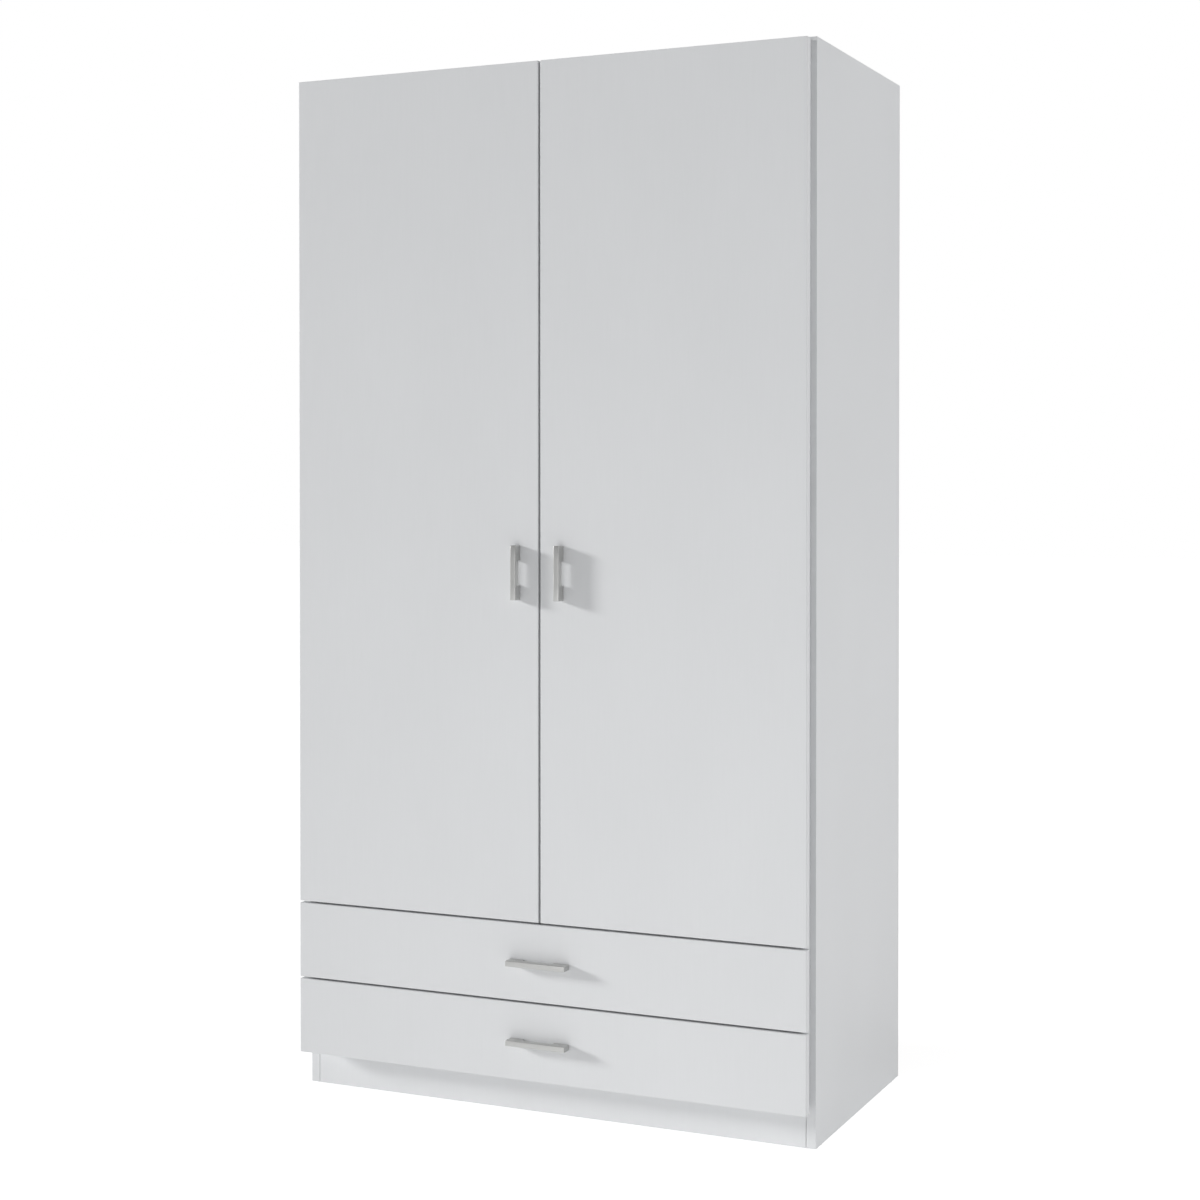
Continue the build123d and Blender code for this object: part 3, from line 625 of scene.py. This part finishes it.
class WARDROBE_OT_fittings(bpy.types.Operator):
    """Finishes hinges, runners, rail, cams, glides and other fittings"""
    bl_idname = "wardrobe.fittings"
    bl_label = "Fittings"

    def execute(self, context):
        nickel = plated_steel("nickel_plated_steel", tuple(colours().nickel), 0.26)
        names = ["hinge_plates", "hinge_plate_screws", "hinge_arms", "shelf_pins", "cam_bolts"]
        names += ["wall_brackets"]
        for side in SIDES:
            names += [f"{side}_hinge_cups", f"{side}_hinge_pins"]
            screws_along_y(f"{side}_hinge_cup_screws", f"{side}_door", nickel, CUP_SCREW_HEAD)
            screws_along_y(f"{side}_door_handle_screws", f"{side}_door", nickel, SCREW_HEAD)
        for drawer in DRAWERS:
            node = f"{drawer}_drawer_handle_screws"
            screws_along_y(node, f"{drawer}_drawer", nickel, SCREW_HEAD)
        dress(names, nickel)
        low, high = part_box("cam_discs")
        boards = [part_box(name)[0].z for name in ("top_panel", "cabinet_floor", "base_panel")]
        thickness = high.z - boards[0]
        points, faces = cam_disc(CAM_R, thickness)
        discs = []
        for z in boards:
            for x in (low.x + CAM_R, high.x - CAM_R):
                for y in (low.y + CAM_R, high.y - CAM_R):
                    discs.append((points * (1, 1, -1) + (x, y, z), faces))
        zinc = plated_steel("zinc_die_casting", tuple(colours().zinc), 0.42)
        solid("cam_discs_slotted", discs, zinc, "carcass", ["cam_discs"])
        dress(["hanging_rail"], chromed_tube("chromed_oval_tube", linear("d4d5d6")))
        dress(["rail_brackets"], plated_steel("chromed_die_casting", linear("cfd0d1"), 0.18))
        coated = powder_coat("white_powder_coated_steel", linear("e6e7e6"))
        dress(["cabinet_runners"] + [f"{d}_drawer_runners" for d in DRAWERS], coated)
        nylon = moulded_plastic("nylon_moulded_white", tuple(colours().plastic), 0.45, ior=1.53)
        for drawer in DRAWERS:
            for end in ("front", "rear"):
                node = f"{drawer}_{end}_rollers"
                low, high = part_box(node)
                radius = (high.z - low.z) / 2
                points, faces = roller(radius, ROLLER_WIDTH, ROLLER_BORE_R)
                middle = ((low.y + high.y) / 2, (low.z + high.z) / 2)
                ends = (low.x, high.x - ROLLER_WIDTH)
                pair = [(points[:, [2, 0, 1]] + (x, *middle), faces) for x in ends]
                solid(f"{node}_ribbed", pair, nylon, node, [node])
        glides = moulded_plastic("glide_plastic_white", tuple(colours().plastic), 0.5)
        dress(["floor_glides"], glides)
        dress(["back_joining_strip"], moulded_plastic("strip_plastic_white", linear("dfe0dd"), 0.5))
        buffers = moulded_plastic("buffer_rubber_grey", linear("bfc1c0"), 0.7, ior=1.52)
        dress(["door_buffers"], buffers)
        dress(["frame_dowels"], turned_beech("beech_turned_raw", linear("c89b6a")))
        return {"FINISHED"}


class WARDROBE_OT_stage(bpy.types.Operator):
    """Makes the floor, the soft studio light and the camera"""
    bl_idname = "wardrobe.stage"
    bl_label = "Studio"

    def execute(self, context):
        scene = context.scene
        scene.view_settings.view_transform = "Standard"
        scene.view_settings.look = "None"

        # The floor glows: strongly to the camera, so that the ground is even and pale, and less
        # to the wardrobe.
        glow_seen, glow_cast = 0.9, 0.33
        mesh = bpy.data.meshes.new("floor")
        turns = ((-1, -1), (1, -1), (1, 1), (-1, 1))
        corners = [(x * FLOOR_REACH, y * FLOOR_REACH, 0) for x, y in turns]
        mesh.from_pydata(corners, [], [(0, 1, 2, 3)])
        floor = bpy.data.objects.new("floor", mesh)
        scene.collection.objects.link(floor)
        material, tree, shader = surface("floor_pale", (0.9, 0.9, 0.9), roughness=0.9)
        shader.inputs["Specular IOR Level"].default_value = 0.0
        path = add(tree, "ShaderNodeLightPath")
        white = (1, 1, 1, 1)
        glow = add(tree, "ShaderNodeEmission", values={"Color": white, "Strength": glow_seen})
        pale = add(tree, "ShaderNodeBsdfDiffuse", values={"Color": (0.3, 0.3, 0.3, 1)})
        both = add(tree, "ShaderNodeAddShader")
        tree.links.new(glow.outputs["Emission"], both.inputs[0])
        tree.links.new(pale.outputs["BSDF"], both.inputs[1])
        seen_floor = add(tree, "ShaderNodeMixShader", links={"Fac": path.outputs["Is Camera Ray"]})
        bright = add(tree, "ShaderNodeEmission", values={"Color": white, "Strength": glow_cast})
        lit = add(tree, "ShaderNodeAddShader")
        tree.links.new(bright.outputs["Emission"], lit.inputs[0])
        tree.links.new(shader.outputs["BSDF"], lit.inputs[1])
        tree.links.new(lit.outputs["Shader"], seen_floor.inputs[1])
        tree.links.new(both.outputs["Shader"], seen_floor.inputs[2])
        floor_out = tree.nodes["Material Output"].inputs["Surface"]
        tree.links.new(seen_floor.outputs["Shader"], floor_out)
        mesh.materials.append(material)

        world = bpy.data.worlds.new("studio")
        world.use_nodes = True
        scene.world = world
        tree = world.node_tree
        back = tree.nodes["Background"]
        back.inputs["Color"].default_value = (*linear("fafcff"), 1.0)
        back.inputs["Strength"].default_value = 0.22
        seen = add(tree, "ShaderNodeBackground", values={"Color": white, "Strength": 1.0})
        path = add(tree, "ShaderNodeLightPath")
        mix = add(tree, "ShaderNodeMixShader", links={"Fac": path.outputs["Is Camera Ray"]})
        tree.links.new(back.outputs["Background"], mix.inputs[1])
        tree.links.new(seen.outputs["Background"], mix.inputs[2])
        tree.links.new(mix.outputs["Shader"], tree.nodes["World Output"].inputs["Surface"])

        def light(name, kind, place, target, power, **shape):
            data = bpy.data.lights.new(name, kind)
            data.energy = power
            for key, value in shape.items():
                setattr(data, key, value)
            lamp = bpy.data.objects.new(name, data)
            scene.collection.objects.link(lamp)
            lamp.location = place
            aim = Vector(target) - Vector(place)
            lamp.rotation_euler = aim.to_track_quat("-Z", "Y").to_euler()

        # Distant soft key from the left, a broad fill for the right side, a low one for the plinth.
        light("key_left", "SUN", (-5.1, -1.9, 2.47), (0.0, -0.27, 1.0), power=2.5, angle=0.17)
        light(
            "fill_right", "AREA", (4.2, 0.3, 2.1), (0.5, 0.1, 1.3), power=52.0,
            shape="DISK", size=2.6,
        )
        light(
            "low_front", "AREA", (0.2, -2.4, 0.05), (0.1, -0.25, 0.15), power=10.0,
            shape="DISK", size=2.2,
        )

        # The camera stands to the wardrobe's right and looks slightly down. The shift puts back
        # what the tilt moves in the frame.
        tilt, turn = math.radians(0.7), math.radians(24.4)
        # From the right side panel's outer front edge, and from the floor.
        beside, before, eye_height = 1.213, 3.6135, 1.2025
        frame_drop = 0.0979                                  # of the frame's width
        camera_data = bpy.data.cameras.new("camera")
        camera_data.lens = 63.5
        camera_data.sensor_width = 36.0
        tilt_shift = math.tan(tilt) * camera_data.lens / camera_data.sensor_width
        camera_data.shift_y = -frame_drop + tilt_shift
        camera = bpy.data.objects.new("camera", camera_data)
        scene.collection.objects.link(camera)
        right_x, side_y = CAD_BOX[1].x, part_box("side_panel_right")[0].y
        camera.location = (right_x + beside, side_y - before, eye_height)
        level = math.cos(tilt)
        ahead = Vector((-math.sin(turn) * level, math.cos(turn) * level, -math.sin(tilt)))
        camera.rotation_mode = "QUATERNION"
        camera.rotation_quaternion = ahead.to_track_quat("-Z", "Y")
        scene.camera = camera
        return {"FINISHED"}


class WARDROBE_PT_panel(bpy.types.Panel):
    """Sidebar panel that lists the wardrobe's makers"""
    bl_label = "Wardrobe"
    bl_idname = "WARDROBE_PT_panel"
    bl_space_type = "VIEW_3D"
    bl_region_type = "UI"
    bl_category = "Wardrobe"

    def draw(self, context):
        for group in (context.scene.wardrobe_colours, context.scene.wardrobe_sizes):
            for key in group.bl_rna.properties.keys():
                if key not in ("rna_type", "name"):
                    self.layout.prop(group, key)
        for maker in MAKERS:
            self.layout.operator(maker.bl_idname)


MAKERS = (WARDROBE_OT_boards, WARDROBE_OT_handles, WARDROBE_OT_fittings, WARDROBE_OT_stage)
CLASSES = (WardrobeColours, WardrobeSizes, *MAKERS, WARDROBE_PT_panel)


def register():
    for item in CLASSES:
        bpy.utils.register_class(item)
    bpy.types.Scene.wardrobe_colours = bpy.props.PointerProperty(type=WardrobeColours)
    bpy.types.Scene.wardrobe_sizes = bpy.props.PointerProperty(type=WardrobeSizes)


def unregister():
    del bpy.types.Scene.wardrobe_sizes
    del bpy.types.Scene.wardrobe_colours
    for item in reversed(CLASSES):
        bpy.utils.unregister_class(item)


def main():
    register()
    bpy.ops.wardrobe.boards()
    bpy.ops.wardrobe.handles()
    bpy.ops.wardrobe.fittings()
    bpy.ops.wardrobe.stage()


if __name__ == "__main__":
    main()
